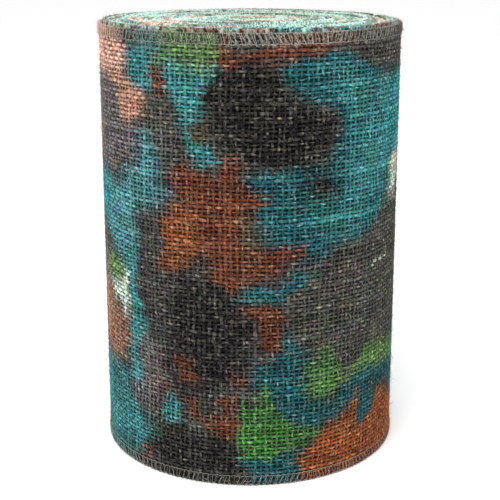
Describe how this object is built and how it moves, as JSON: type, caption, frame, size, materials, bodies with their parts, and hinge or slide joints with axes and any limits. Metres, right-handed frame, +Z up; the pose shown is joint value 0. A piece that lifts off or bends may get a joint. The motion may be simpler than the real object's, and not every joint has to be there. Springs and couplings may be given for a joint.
{
  "type": "burlap ribbon roll",
  "caption": "Coreless roll of open-weave printed burlap ribbon standing on end, with overlocked long edges and a loose tail that peels away from the roll.",
  "frame": {"origin": "centre of the roll's footprint, on the surface that it stands on", "axes": "+Z up along the roll's axis; -Y is the side seen from the front; the loose tail is at the back, on +Y"},
  "size_m": [0.1598, 0.161, 0.2286],
  "materials": {
    "burlap": "coarse open plain weave of jute yarn, matte, printed in charcoal, teal, rust and green blots",
    "looper_thread": "pale spun polyester thread, matte with a slight sheen",
    "needle_thread": "pale spun polyester thread, matte with a slight sheen"
  },
  "bodies": {
    "roll": {"burlap_winding": "burlap", "top_looper_thread_winding": "looper_thread", "bottom_looper_thread_winding": "looper_thread", "burlap_outer_turn": "burlap", "top_looper_thread_outer_turn": "looper_thread", "bottom_looper_thread_outer_turn": "looper_thread", "top_needle_thread_outer_turn": "needle_thread", "bottom_needle_thread_outer_turn": "needle_thread"},
    "tail": {"burlap_tail": "burlap", "top_looper_thread_tail": "looper_thread", "bottom_looper_thread_tail": "looper_thread", "top_needle_thread_tail": "needle_thread", "bottom_needle_thread_tail": "needle_thread"}
  },
  "joints": [
    {"name": "tail_peel", "type": "hinge", "parent": "roll", "child": "tail", "pos_m": [0.02056, 0.07766, 0.1143], "axis": [0, 0, -1], "range_deg": [0, 90]}
  ]
}
